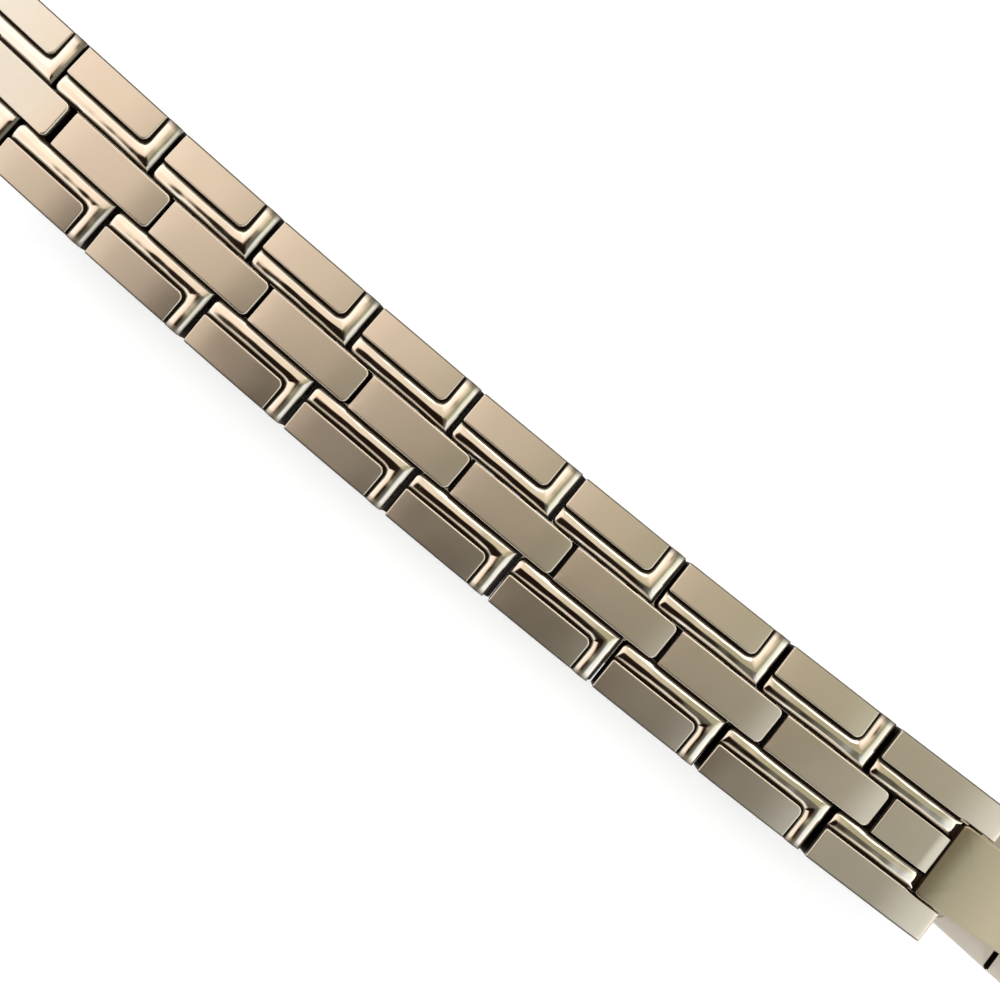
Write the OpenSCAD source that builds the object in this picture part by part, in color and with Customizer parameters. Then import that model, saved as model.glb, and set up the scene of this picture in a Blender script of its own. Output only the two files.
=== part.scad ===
// Magnetic link bracelet of satin and polished steel, fastened and lying flat.
//
// The band is a loop of hinged links. Each has two side links and, offset toward
// the next link, a centre link whose tongue is held in the next link's fork.
// A link's own frame has X along the band from fork to tongue, Y across the band
// and Z out of the face, with its origin on its hinge pin at mid-thickness.
// The whole loop stands on Z = 0 with X along its length and Y across the band.

/* [Band] */
// Width of the band
band_w = 9.6; // [8.4:0.1:12]
// Thickness of the links
band_t = 2.5; // [2.2:0.1:3]
// Distance from one hinge pin to the next
pitch = 8.1; // [7.4:0.1:9.6]
// Number of links in the loop, end links not counted
link_count = 23; // [19:2:27]
// Radius of the long outer edges
edge_r = 0.12; // [0.05:0.01:0.3]

/* [Side links] */
// Gap between one side link and the next
side_gap = 0.36; // [0.3:0.02:0.6]
// Slit between side link and centre link
row_gap = 0.12; // [0.08:0.01:0.2]
// Corner radius of the satin panel where the bead turns round it
satin_corner = 0.45; // [0.1:0.05:0.8]
// Width of the polished bead, with its groove
bead_w = 1.27; // [0.8:0.01:1.6]
// Height of the bead above its feet
bead_rise = 0.39; // [0.2:0.01:0.5]
// How far the bead's crest lies below the satin face
crest_drop = 0.03; // [0.01:0.01:0.1]
// Groove between bead and satin panel
groove_w = 0.1; // [0.05:0.01:0.2]
// Corner radius where the bead starts
bead_corner = 0.4; // [0.1:0.05:0.6]

/* [Centre links] */
// Width of a centre link
centre_w = 2.55; // [2:0.05:3.2]
// Start of the centre link behind the start of its side links
centre_start = 2.24; // [2.1:0.02:2.8]
// Gap between one centre link and the next
centre_gap = 0.3; // [0.2:0.02:0.5]
// Corner radius of the tongue, seen from above
tongue_corner = 0.4; // [0.2:0.05:1]

/* [Pins] */
// Hinge pin behind the start of the side links
hinge_setback = 1.05; // [0.9:0.01:1.15]
// Diameter of the pins
pin_d = 0.9; // [0.6:0.05:1]
// Play round a pin, on its radius
pin_play = 0.05; // [0.03:0.01:0.08]
// Depth of a pin's ends below the edge of the band
pin_sink = 0.15; // [0.05:0.05:0.4]
// Pin that joins a centre link to its own side links, from the hinge pin
fixed_pin_x = 5.4; // [5:0.1:5.8]
// Clearance that lets a rounded end swing round its pin
swing_gap = 0.12; // [0.08:0.01:0.2]
// Lower lip that reaches under a gap, so that no light comes through
lip_len = 0.4; // [0.2:0.01:0.45]

/* [Magnets] */
// Diameter of a magnet
magnet_d = 1.8; // [1.2:0.1:1.9]
// Thickness of a magnet
magnet_t = 0.7; // [0.4:0.05:0.8]
// Play round a magnet and depth of its face in the pocket
magnet_play = 0.05; // [0.03:0.01:0.1]
// Centre of the magnet, from the hinge pin
magnet_x = 3.1; // [2.6:0.1:3.4]

/* [Clasp] */
// Length of an end link from its start to its shoulder
shoulder_len = 6.16; // [5.4:0.02:7]
// Width of an ear
ear_w = 2.08; // [1.6:0.02:2.6]
// Clasp pin in front of the shoulder
ear_reach = 1.49; // [1.45:0.01:1.8]
// Gap between the clasp plate and the end link round it
plate_gap = 0.12; // [0.08:0.01:0.2]
// Distance between the clasp's two pins
clasp_reach = 16.4; // [15:0.1:18]
// Angle through which the clasp plate curves
clasp_arc = 50; // [44:1:56]

/* [Lie] */
// Slope of the link that leads up to the level top run
lead_turn = 14; // [14:1:26]
// Share of its full stretch that the last end link and link 1 span together
knee_stretch = 0.94; // [0.9:0.01:0.97]
// Radius of the band's slight sideways curve, seen from above
sway_r = 760; // [600:10:2000]

/* [Hidden] */
$fn = 64;

half_w = band_w / 2;
half_t = band_t / 2;
slack = 0.5;

// Side link
row_y = centre_w / 2 + row_gap;
side_len = pitch - side_gap;
side_start = -hinge_setback;
side_end = side_start + side_len;
satin_end = side_end - bead_w;
satin_y = row_y + bead_w;
bead_z = half_t - crest_drop - bead_rise;
end_round = hinge_setback + side_gap - swing_gap;
lip_round = hinge_setback + side_gap + 0.02;

// Centre link
centre_x = side_start + centre_start;
centre_end = centre_x + pitch - centre_gap;
tongue_over = centre_end - pitch;

// Pins
pin_r = pin_d / 2;
bore_r = pin_r + pin_play;
pin_len = band_w - 2 * pin_sink;

// End links and clasp
shoulder_x = side_start + shoulder_len;
end_a_len = shoulder_x + ear_reach;
end_b_len = ear_reach + shoulder_len + side_gap + hinge_setback;
ear_y = half_w - ear_w;
plate_w = 2 * (ear_y - plate_gap);
plate_over = ear_reach - plate_gap;
clasp_r = clasp_reach / 2 / sin(clasp_arc / 2);
plate_angle = plate_over / clasp_r * 180 / PI;

// Lie of the loop: one link kneels beside the clasp, a run lies on the ground, three
// links turn the loop over, one leads up and the rest are the level top run
turn_count = 3;
ground_count = (link_count - turn_count) / 2;
top_count = link_count - 1 - ground_count - turn_count - 1;

// How far the outer corner of a link reaches past the face when its pin, x from
// the corner, turns by an angle, and the most that it can reach
function corner_reach(x, angle) = x * sin(angle) + half_t * (cos(angle) - 1);
function corner_most(x) = norm([x, half_t]) - half_t;

// The last two links at each end of the ground run tilt up, so that the corners of
// the steeper links beyond them stay off the ground
left_tilt = asin(corner_most(hinge_setback) / pitch);
left_ease = asin(corner_reach(hinge_setback, left_tilt) / pitch);
right_tilt = asin(corner_most(tongue_over) / pitch);
right_ease = asin(corner_reach(tongue_over, right_tilt) / pitch);

turn_step = (180 - left_tilt - lead_turn) / (turn_count + 1);

// Headings of links 2 to the last, in degrees up from +X
headings = concat(
    [180 + right_tilt, 180 + right_ease],
    [for (i = [1 : ground_count - 4]) 180],
    [180 - left_ease, 180 - left_tilt],
    [for (i = [1 : turn_count]) 180 - left_tilt - i * turn_step],
    [lead_turn],
    [for (i = [1 : top_count]) 0]);

function ahead(length, heading) = length * [cos(heading), sin(heading)];
function walk(at, i) = i == len(headings)
    ? [at]
    : concat([at], walk(at + ahead(pitch, headings[i]), i + 1));

// Pins of links 2 to the last and of the first end link, from the pin of link 2
run_pins = walk([0, 0], 0);
end_a_pin = run_pins[len(headings)];
clasp_pin_a = end_a_pin + ahead(end_a_len, 0);

// Angle opposite side a of a triangle with sides a, b and c
function opposite(a, b, c) = acos((b * b + c * c - a * a) / (2 * b * c));
function heading_of(v) = atan2(v[1], v[0]);

// The clasp and the stretch of the second end link and link 1 close the loop as two
// sides of a triangle, and that end link and link 1 are two sides of another
knee_len = knee_stretch * (end_b_len + pitch);
clasp_heading = heading_of(-clasp_pin_a) + opposite(knee_len, clasp_reach, norm(clasp_pin_a));
clasp_pin_b = clasp_pin_a + ahead(clasp_reach, clasp_heading);
end_b_heading = heading_of(-clasp_pin_b) + opposite(pitch, end_b_len, knee_len);
knee_pin = clasp_pin_b + ahead(end_b_len, end_b_heading);
knee_heading = heading_of(-knee_pin);

// The pin and heading of every link, link 1 first. The last pin is the first end link's.
pins = concat([knee_pin], run_pins);
slopes = concat([knee_heading], headings);

// A point of a link's side view, in the view of the whole loop
function seen(pin, heading, x, z) = pin + ahead(x, heading) + ahead(z, heading + 90);

// Ends of the loop, for the origin
link_corners = [for (i = [0 : link_count - 1], x = [side_start, centre_end])
    seen(pins[i], slopes[i], x, half_t)[0]];
clasp_corner = seen(clasp_pin_b, clasp_heading - clasp_arc / 2, (clasp_r + half_t) * sin(plate_angle),
    (clasp_r + half_t) * cos(plate_angle) - clasp_r)[0];
end_b_corners = [for (x = [0, end_b_len + tongue_over])
    seen(clasp_pin_b, end_b_heading, x, half_t)[0]];
loop_left = min(link_corners);
loop_right = max(concat(link_corners, end_b_corners, [clasp_corner, clasp_pin_b[0] + half_t]));

origin_x = (loop_left + loop_right) / 2;
ground_z = -corner_most(tongue_over) - corner_reach(tongue_over, right_tilt) - half_t;
loop_half = (loop_right - loop_left) / 2;

// Sideways place of the band's middle line at x, as far to one side of Y = 0 at the
// ends of the loop as to the other in its middle, and the line's turn there
function sway(x) = (x * x - loop_half * loop_half / 2) / (2 * sway_r);
function sway_turn(x) = atan(x / sway_r);

function two_digits(i) = i < 10 ? str("0", i) : str(i);
function side_name(i) = str("side_links_", two_digits(i));
function centre_name(i) = str("centre_link_", two_digits(i));

// Puts a piece drawn in a link's frame where the link is. It lies along the sideways
// curve between its own pin and the next, length further on.
module place(pin, heading, length) {
    x = pin[0] - origin_x;
    turn = sway_turn(x + length / 2 * cos(heading));
    translate([x, sway(x), pin[1] - ground_z]) rotate([0, 0, turn]) rotate([0, -heading, 0]) children();
}

// Prism across the band of a side view
module across(y0, y1) {
    translate([0, y1, 0]) rotate([90, 0, 0]) linear_extrude(y1 - y0) children();
}

// Prism along the band of an end view
module along(x0, x1) {
    translate([x0, 0, 0]) rotate([90, 0, 90]) linear_extrude(x1 - x0) children();
}

module both_rows() {
    children();
    mirror([0, 1, 0]) children();
}

module bore(x, radius) {
    across(-half_w - slack, half_w + slack) translate([x, 0]) circle(radius);
}

// Side view of a bar whose lower start corner is round about the hinge pin
module bar_side_view(x1) {
    translate([0, -half_t]) square([x1, band_t]);
    translate([side_start, 0]) square([hinge_setback, half_t]);
    intersection() {
        translate([side_start, -half_t]) square([hinge_setback, half_t]);
        circle(end_round);
    }
}

// End view of one row, with its long outer edges rounded
module row_end_view(y0) {
    translate([y0, -half_t]) square([half_w - edge_r - y0, band_t]);
    translate([y0, edge_r - half_t]) square([half_w - y0, band_t - 2 * edge_r]);
    for (z = [edge_r - half_t, half_t - edge_r]) translate([half_w - edge_r, z]) circle(edge_r);
}

// Plan of a bar that is round at its start corner beside the centre link
module bar_plan(x1) {
    difference() {
        translate([side_start, row_y]) square([x1 - side_start, half_w - row_y]);
        translate([side_start, row_y]) square(bead_corner);
    }
    translate([side_start + bead_corner, row_y + bead_corner]) circle(bead_corner);
}

// Plain bar of one row, before its face is cut
module bar(x1) {
    intersection() {
        across(row_y, half_w) bar_side_view(x1);
        along(side_start, x1) row_end_view(row_y);
        linear_extrude(band_t, center = true) bar_plan(x1);
    }
}

// Lower lip of one row past its far end at x1, hollow about the hinge pin beyond it
module side_lip(x1) {
    intersection() {
        across(row_y, half_w) difference() {
            translate([x1, -half_t]) square([lip_len, half_t]);
            translate([x1 + side_gap + hinge_setback, 0]) circle(lip_round);
        }
        along(x1, x1 + lip_len) row_end_view(row_y);
    }
}

// Lower lip of a centre piece before its start at x0, uncut, reaching y to each side
module centre_lip(x0, y) {
    across(-y, y) translate([x0 - lip_len, -half_t]) square([lip_len, half_t]);
}

// Plan of the satin panel, with a round corner where the bead turns
module satin_plan(x0, x1) {
    difference() {
        translate([x0, satin_y]) square([x1 - x0, half_w - satin_y]);
        translate([x1 - satin_corner, satin_y]) square(satin_corner);
    }
    translate([x1 - satin_corner, satin_y + satin_corner]) circle(satin_corner);
}

// Segment of a circle that stands on its chord
module bead_section(chord) {
    r = (chord * chord / 4 + bead_rise * bead_rise) / (2 * bead_rise);
    intersection() {
        translate([0, bead_rise - r]) circle(r);
        translate([-chord / 2, 0]) square([chord, bead_rise]);
    }
}

// Bead beside the centre link
module long_bead(x0, x1) {
    chord = bead_w - groove_w;
    along(x0, x1) translate([row_y + chord / 2, bead_z]) bead_section(chord);
}

// Bead across the tongue end of a side link
module end_bead(x1) {
    chord = bead_w - groove_w;
    across(row_y, half_w) translate([x1 - chord / 2, bead_z]) bead_section(chord);
}

// The two beads of a side link, mitred where they meet
module bead_corner_pair(x0, x1) {
    corner = [x1 - bead_w, satin_y];
    tip = [x1, row_y];
    intersection() {
        long_bead(x0, x1);
        linear_extrude(band_t, center = true) polygon([[x0, row_y], tip, corner, [x0, satin_y]]);
    }
    intersection() {
        end_bead(x1);
        linear_extrude(band_t, center = true)
            polygon([corner, tip, [x1, half_w], [corner[0], half_w]]);
    }
}

// One side link of the upper row
module side_link() {
    side_lip(side_end);
    difference() {
        bar(side_end);
        difference() {
            translate([side_start - slack, row_y - slack, bead_z])
                cube([side_len + 2 * slack, half_w - row_y + 2 * slack, band_t]);
            linear_extrude(band_t, center = true) satin_plan(side_start - slack, satin_end);
            translate([side_start - slack, satin_y, bead_z])
                cube([satin_end - satin_corner - side_start + slack, half_w - satin_y + slack, band_t]);
        }
        bore(0, bore_r);
        bore(fixed_pin_x, bore_r);
    }
    intersection() {
        bead_corner_pair(side_start, side_end);
        bar(side_end);
    }
}

module side_links(i) {
    color("#c9bca4") place(pins[i - 1], slopes[i - 1], pitch) both_rows() side_link();
}

// Side view of a tongue that is round below about the pin at x = pin_x
module tongue_side_view(x0, pin_x) {
    translate([x0, -half_t]) square([pin_x - x0, band_t]);
    translate([pin_x, 0]) square([tongue_over, half_t]);
    intersection() {
        translate([pin_x, -half_t]) square([tongue_over, half_t]);
        translate([pin_x, 0]) circle(half_t);
    }
}

// Plan of a centre piece whose far corners are round
module tongue_plan(x0, x1) {
    translate([x0, -centre_w / 2]) square([x1 - x0 - tongue_corner, centre_w]);
    translate([x0, tongue_corner - centre_w / 2]) square([x1 - x0, centre_w - 2 * tongue_corner]);
    for (y = [-1, 1])
        translate([x1 - tongue_corner, y * (centre_w / 2 - tongue_corner)]) circle(tongue_corner);
}

// Centre piece from x0 to a tongue held by the pin at pin_x
module tongue(x0, pin_x) {
    intersection() {
        across(-centre_w / 2, centre_w / 2) tongue_side_view(x0, pin_x);
        linear_extrude(band_t, center = true) tongue_plan(x0, pin_x + tongue_over);
    }
}

module centre_link(i) {
    color("#bfb198") place(pins[i - 1], slopes[i - 1], pitch) difference() {
        union() {
            tongue(centre_x, pitch);
            centre_lip(centre_x, centre_w / 2);
        }
        bore(0, half_t + swing_gap);
        bore(pitch, bore_r);
        bore(fixed_pin_x, bore_r);
        translate([magnet_x, 0, -half_t - slack])
            cylinder(r = magnet_d / 2 + magnet_play, h = slack + magnet_t + 2 * magnet_play);
    }
}

// Ear of one row, round about the clasp pin at x = pin_x, from x = x1
module ear(pin_x, x1) {
    intersection() {
        across(ear_y, half_w) {
            translate([min(pin_x, x1), -half_t]) square([abs(x1 - pin_x), band_t]);
            translate([pin_x, 0]) circle(half_t);
        }
        along(pin_x - pitch, pin_x + pitch) row_end_view(ear_y);
    }
}

// Face of an end link beside its bead, cut away down to the bead's feet
module bead_channel(x0, x1) {
    translate([x0 - slack, row_y - slack, bead_z])
        cube([x1 - x0 + slack, slack + bead_w, band_t]);
}

// First end link: a fork for the last tongue, a shoulder, and ears that hold the clasp
module end_link_a() {
    color("#c4b79f") place(end_a_pin, 0, end_a_len) difference() {
        union() {
            both_rows() {
                difference() {
                    bar(shoulder_x);
                    bead_channel(side_start, shoulder_x);
                }
                intersection() {
                    long_bead(side_start, shoulder_x);
                    bar(shoulder_x);
                }
                ear(end_a_len, satin_end - satin_corner);
            }
            end_web(centre_x, shoulder_x);
            centre_lip(centre_x, row_y);
        }
        bore(0, bore_r);
        bore(end_a_len, bore_r);
        across(-row_y, row_y) circle(half_t + swing_gap);
    }
}

// Centre part of an end link, one with its side bars below the slits
module end_web(x0, x1) {
    across(-centre_w / 2, centre_w / 2) translate([x0, -half_t]) square([x1 - x0, band_t]);
    across(-row_y, row_y) translate([x0, -half_t]) square([x1 - x0, half_t + bead_z]);
}

// Second end link: ears for the clasp, a shoulder, and a tongue for link 1
module end_link_b() {
    bar_end = end_b_len - hinge_setback - side_gap;
    color("#c4b79f") place(clasp_pin_b, end_b_heading, end_b_len) difference() {
        union() {
            both_rows() {
                end_b_row(bar_end);
                side_lip(bar_end);
                ear(0, ear_reach + slack);
            }
            end_web(ear_reach, bar_end - slack);
            tongue(ear_reach + slack, end_b_len);
        }
        bore(0, bore_r);
        bore(end_b_len, bore_r);
    }
}

// One row of the second end link, from its shoulder to x1
module end_b_row(x1) {
    difference() {
        intersection() {
            across(row_y, half_w) translate([ear_reach, -half_t]) square([x1 - ear_reach, band_t]);
            along(ear_reach, x1) row_end_view(row_y);
        }
        difference() {
            translate([ear_reach - slack, row_y - slack, bead_z])
                cube([x1 - ear_reach + 2 * slack, half_w - row_y + 2 * slack, band_t]);
            linear_extrude(band_t, center = true) satin_plan(ear_reach - slack, x1 - bead_w);
        }
    }
    intersection() {
        bead_corner_pair(ear_reach, x1);
        along(ear_reach, x1) row_end_view(row_y);
    }
}

// Side view of the clasp plate about the centre of its curve, pins at each end
module clasp_side_view() {
    difference() {
        circle(clasp_r + half_t, $fn = 256);
        circle(clasp_r - half_t, $fn = 256);
        for (side = [-1, 1]) {
            past_end(side, clasp_arc / 2 + plate_angle);
            difference() {
                past_end(side, clasp_arc / 2);
                difference() {
                    circle(clasp_r + band_t, $fn = 256);
                    circle(clasp_r, $fn = 256);
                }
                clasp_end(side) circle(plate_over);
            }
        }
        translate([0, -2 * clasp_r]) square(4 * clasp_r, center = true);
    }
}

// Moves to the clasp's pin on one side, from the centre of its curve
module clasp_end(side) {
    translate([side * clasp_r * sin(clasp_arc / 2), clasp_r * cos(clasp_arc / 2)]) children();
}

// Everything past a radius of the clasp's curve, angle from the middle
module past_end(side, angle) {
    far = 2 * clasp_r;
    edge = [side * sin(angle), cos(angle)];
    polygon([[0, 0], far * edge, [side * far * 2, far * edge[1]], [side * far * 2, 0]]);
}

module clasp_plate() {
    color("#b5a68c") place(clasp_pin_a, clasp_heading, clasp_reach) difference() {
        translate([clasp_reach / 2, 0, -clasp_r * cos(clasp_arc / 2)])
            across(-plate_w / 2, plate_w / 2) clasp_side_view();
        bore(0, bore_r);
        bore(clasp_reach, bore_r);
    }
}

module pin() {
    across(-pin_len / 2, pin_len / 2) circle(pin_r);
}

// Every pin that something turns on
module hinge_pins() {
    color("#8f8a80") {
        for (p = concat(pins, [clasp_pin_a, clasp_pin_b])) place(p, 0, 0) pin();
    }
}

// The pins that hold each centre link to its own side links
module fixed_pins() {
    color("#8f8a80")
        for (i = [0 : link_count - 1])
            place(pins[i], slopes[i], pitch) translate([fixed_pin_x, 0, 0]) pin();
}

module magnets() {
    color("#6e6c69")
        for (i = [0 : link_count - 1])
            place(pins[i], slopes[i], pitch) translate([magnet_x, 0, magnet_play - half_t])
                cylinder(d = magnet_d, h = magnet_t);
}

for (i = [1 : link_count]) {
    side_links(i);
    centre_link(i);
}
end_link_a();
end_link_b();
clasp_plate();
hinge_pins();
fixed_pins();
magnets();
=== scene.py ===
"""Magnetic link bracelet of satin and polished steel, fastened and lying as a flat loop.

Each link's pieces are drawn once, in millimetres, in the link's own frame: X along the
band from the hinge pin to the next, Y across the band, Z out of the face, with the
origin on the hinge pin at mid-thickness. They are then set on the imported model's pins.
"""
import math

import bmesh
import bpy
import numpy as np
from mathutils import Euler, Matrix, Vector


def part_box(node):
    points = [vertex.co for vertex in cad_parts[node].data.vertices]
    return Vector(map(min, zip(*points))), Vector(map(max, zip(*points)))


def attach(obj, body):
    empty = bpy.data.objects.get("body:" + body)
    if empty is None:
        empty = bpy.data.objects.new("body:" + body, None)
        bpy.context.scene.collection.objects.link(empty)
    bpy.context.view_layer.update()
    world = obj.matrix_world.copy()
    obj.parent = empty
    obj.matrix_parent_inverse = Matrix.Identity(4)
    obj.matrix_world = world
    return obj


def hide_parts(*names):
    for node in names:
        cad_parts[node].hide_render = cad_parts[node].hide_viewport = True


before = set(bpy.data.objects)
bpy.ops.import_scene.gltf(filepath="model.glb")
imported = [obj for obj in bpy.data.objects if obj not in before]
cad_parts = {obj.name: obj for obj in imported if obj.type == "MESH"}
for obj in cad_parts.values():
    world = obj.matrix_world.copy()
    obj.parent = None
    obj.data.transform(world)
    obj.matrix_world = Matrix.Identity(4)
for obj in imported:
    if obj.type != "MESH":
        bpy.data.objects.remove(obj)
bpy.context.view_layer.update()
MM = 0.001

# Camera, at the photo's angle to the band: place in millimetres, turn in degrees
CAMERA_AT = (1.19, 0.5, 91.56)
CAMERA_TURN = (0.048, 1.316, 39.777)
SENSOR = 36.0
FOCAL_SHARE = 1.1

# Band
HALF_W = 4.8
HALF_T = 1.25
PITCH = 8.1
EDGE_R = 0.12

# Side links
SIDE_GAP = 0.36
ROW_GAP = 0.12
SATIN_CORNER = 0.45
BEAD_W = 1.27
BEAD_RISE = 0.39
CREST_DROP = 0.03
GROOVE_W = 0.1
BEAD_CORNER = 0.4

# Centre links
CENTRE_HALF = 2.55 / 2
CENTRE_START = 2.24
CENTRE_GAP = 0.3
TONGUE_CORNER = 0.4

# Pins and magnets
SETBACK = 1.05
BORE_R = 0.5
FIXED_PIN = 5.4
SWING_GAP = 0.12
LIP = 0.4
LIP_PLAY = 0.02
POCKET_R = 0.95
POCKET_DEPTH = 0.8
MAGNET_X = 3.1

# End links and clasp
SHOULDER = 6.16
EAR_W = 2.08
EAR_REACH = 1.49
PLATE_GAP = 0.12
CLASP_REACH = 16.4
CLASP_ARC = math.radians(50)

# What the polishing and blasting leave: soft edges, and faces a little full
SOFT_EDGE = 0.09
TONGUE_EDGE = 0.11
SHOULDER_LEN = 0.8
SHOULDER_FALL = 0.13
SHOULDER_OVER = 0.2
EAR_EASE = 4.2
EAR_FALL = 0.4
PLATE_EASE = 0.2
PLATE_LEN = 1.5
ROW_LEDGE = 0.08
PLAN_CORNER = 0.13
PANEL_CROWN = 0.06
START_EASE = 0.05
START_LEN = 1.6
TONGUE_EASE = 0.16
PANEL_EASE = 0.08
TONGUE_LEN = 2.3
PANEL_SLOPE = 0.065
BEAD_CROWN = 0.14
BEAD_NOSE = 0.4
NOSE_SHARE = 0.4
END_NOSE = 0.65
END_SHARE = 0.35
FALL_POWER = 1.5

# Shapes of walls: heights of their rings and of what reaches past them
SHARP = 0.02
LIP_TOP = -0.6
WALL_RINGS = (0.4, 0.75)
WEB_RINGS = 0.6
OVERHANG_Z = 0.85
EAR_STEP = 0.1
EAR_INNER = 0.2
EAR_TOP = 0.22 * math.pi
PLATE_CORNER = 0.35
END_STEPS = 3

# Where painted shade lies on walls that face another piece, and the thin painted dark line along a
# long edge
FACE_RIM = 1.0
RIM_FADE = 0.17
BACK_RIM = 0.05
SIDE_RIM = 0.01
LINE_SHADE = 0.85
LINE_Z = 0.85
LINE_W = 0.08
DULL = 0.55

CREASE = math.radians(38)
MERGE = 1e-4

ROW_Y = CENTRE_HALF + ROW_GAP
SATIN_Y = ROW_Y + BEAD_W
SIDE_END = PITCH - SIDE_GAP - SETBACK
BEAD_Z = HALF_T - CREST_DROP - BEAD_RISE
END_ROUND = SETBACK + SIDE_GAP - SWING_GAP
LIP_ROUND = SETBACK + SIDE_GAP + LIP_PLAY
CENTRE_X = CENTRE_START - SETBACK
TONGUE_OVER = CENTRE_X - CENTRE_GAP
SHOULDER_X = SHOULDER - SETBACK
END_A_LEN = SHOULDER_X + EAR_REACH
END_B_LEN = EAR_REACH + SHOULDER + SIDE_GAP + SETBACK
EAR_Y = HALF_W - EAR_W
PLATE_HALF = EAR_Y - PLATE_GAP
PLATE_OVER = EAR_REACH - PLATE_GAP
CLASP_R = CLASP_REACH / 2 / math.sin(CLASP_ARC / 2)

LINKS = 23

# The rows that a piece is drawn for
UPPER, BOTH = (1,), (1, -1)


def camera():
    """The photo's view: straight down on the top run but for some 1.3 degrees."""
    data = bpy.data.cameras.new("camera")
    data.sensor_width = SENSOR
    data.lens = SENSOR * FOCAL_SHARE
    data.clip_start = 0.001
    eye = bpy.data.objects.new("camera", data)
    eye.location = Vector(CAMERA_AT) * MM
    eye.rotation_euler = Euler([math.radians(a) for a in CAMERA_TURN], "XYZ")
    bpy.context.scene.collection.objects.link(eye)
    bpy.context.scene.camera = eye


def pin_places():
    """Centres of the hinge pins, in order round the loop from link 1's to the two clasp pins.

    Each pin is all the vertices within the band's thickness of its first, seen from the side.
    The walk starts at the pin that the first end link shares with the clasp, and takes
    the nearest pin left each time, so that it comes back to the clasp's other pin last.
    """
    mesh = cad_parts["hinge_pins"].data
    points = np.empty(len(mesh.vertices) * 3)
    mesh.vertices.foreach_get("co", points)
    points = points.reshape(-1, 3) / MM
    pins = []
    while len(points):
        near = np.linalg.norm((points - points[0])[:, [0, 2]], axis=1) < 2 * HALF_T
        pins.append((points[near].min(0) + points[near].max(0)) / 2)
        points = points[~near]
    clasp = np.array(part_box("clasp_plate")) / MM
    link = np.array(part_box("end_link_a")) / MM
    low, high = np.maximum(clasp[0], link[0]), np.minimum(clasp[1], link[1])
    middle = (low + high) / 2
    walk = []
    here = middle
    while pins:
        here = pins.pop(int(np.argmin([np.linalg.norm(p - here) for p in pins])))
        walk.append(here)
    clasp_a, end_a, links, clasp_b = walk[0], walk[1], walk[2:-1], walk[-1]
    return np.array(links[::-1] + [end_a, clasp_a, clasp_b])


PINS = pin_places()
SWAY = np.polyfit(PINS[:, 0], PINS[:, 1], 2)


def place(start, end):
    """Matrix that sets a piece drawn in a link's frame on two pins, start and end.

    Its heading is the pins' slope, and its turn about the vertical is that of the band's
    sideways curve half-way between them.
    """
    heading = math.atan2(end[2] - start[2], end[0] - start[0])
    middle = (start[0] + end[0]) / 2
    turn = math.atan(np.polyval(np.polyder(SWAY), middle))
    return (Matrix.Translation(Vector(start) * MM) @ Matrix.Rotation(turn, 4, "Z")
            @ Matrix.Rotation(-heading, 4, "Y"))


def plan(x0, x1, y0, y1, corners, along=10, arc=6, bunch=1.0):
    """Outline of a rounded rectangle as two chains that run from the start side's middle to
    the far side's middle, the first on the y0 side, the second on the y1 side.

    corners are the radii at (x0, y0), (x1, y0), (x0, y1) and (x1, y1). Returns points and
    outward normals, each of shape (2, n, 2): straight runs are evenly spaced, or closer
    toward x1 where bunch is over 1, and a corner is the points at its radius from its
    centre, at even angles.
    """
    share = 1 - (1 - np.linspace(0, 1, along + 2)[1:-1, None]) ** bunch
    middle = (y0 + y1) / 2
    points, normals = [], []
    sides = ((y0, -1, corners[0], corners[1]), (y1, 1, corners[2], corners[3]))
    for y, sign, start_r, end_r in sides:
        start_c = np.array([x0 + start_r, y - sign * start_r])
        end_c = np.array([x1 - end_r, y - sign * end_r])
        turn = np.linspace(0, math.pi / 2, arc)[:, None]
        first = np.hstack([-np.cos(turn), sign * np.sin(turn)])
        last = np.hstack([np.sin(turn), sign * np.cos(turn)])
        rise = np.linspace(middle, start_c[1], END_STEPS, endpoint=False)[:, None]
        fall = np.linspace(end_c[1], middle, END_STEPS + 1)[1:, None]
        run = start_c[0] + share * (end_c[0] - start_c[0])
        points.append(np.vstack([
            np.hstack([np.full_like(rise, x0), rise]), start_c + start_r * first,
            np.hstack([run, np.full_like(run, y)]), end_c + end_r * last,
            np.hstack([np.full_like(fall, x1), fall])]))
        normals.append(np.vstack([
            np.tile([-1.0, 0], (END_STEPS, 1)), first, np.tile([0.0, sign], (along, 1)), last,
            np.tile([1.0, 0], (END_STEPS, 1))]))
    return np.array(points), np.array(normals)


def quads(rings, loop):
    """Faces of a grid of closed loops, ring after ring, each of loop points."""
    i, j = np.meshgrid(np.arange(rings - 1), np.arange(loop), indexing="ij")
    after = (j + 1) % loop
    return np.stack([i * loop + j, i * loop + after, (i + 1) * loop + after, (i + 1) * loop + j],
                    -1).reshape(-1, 4)


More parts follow.
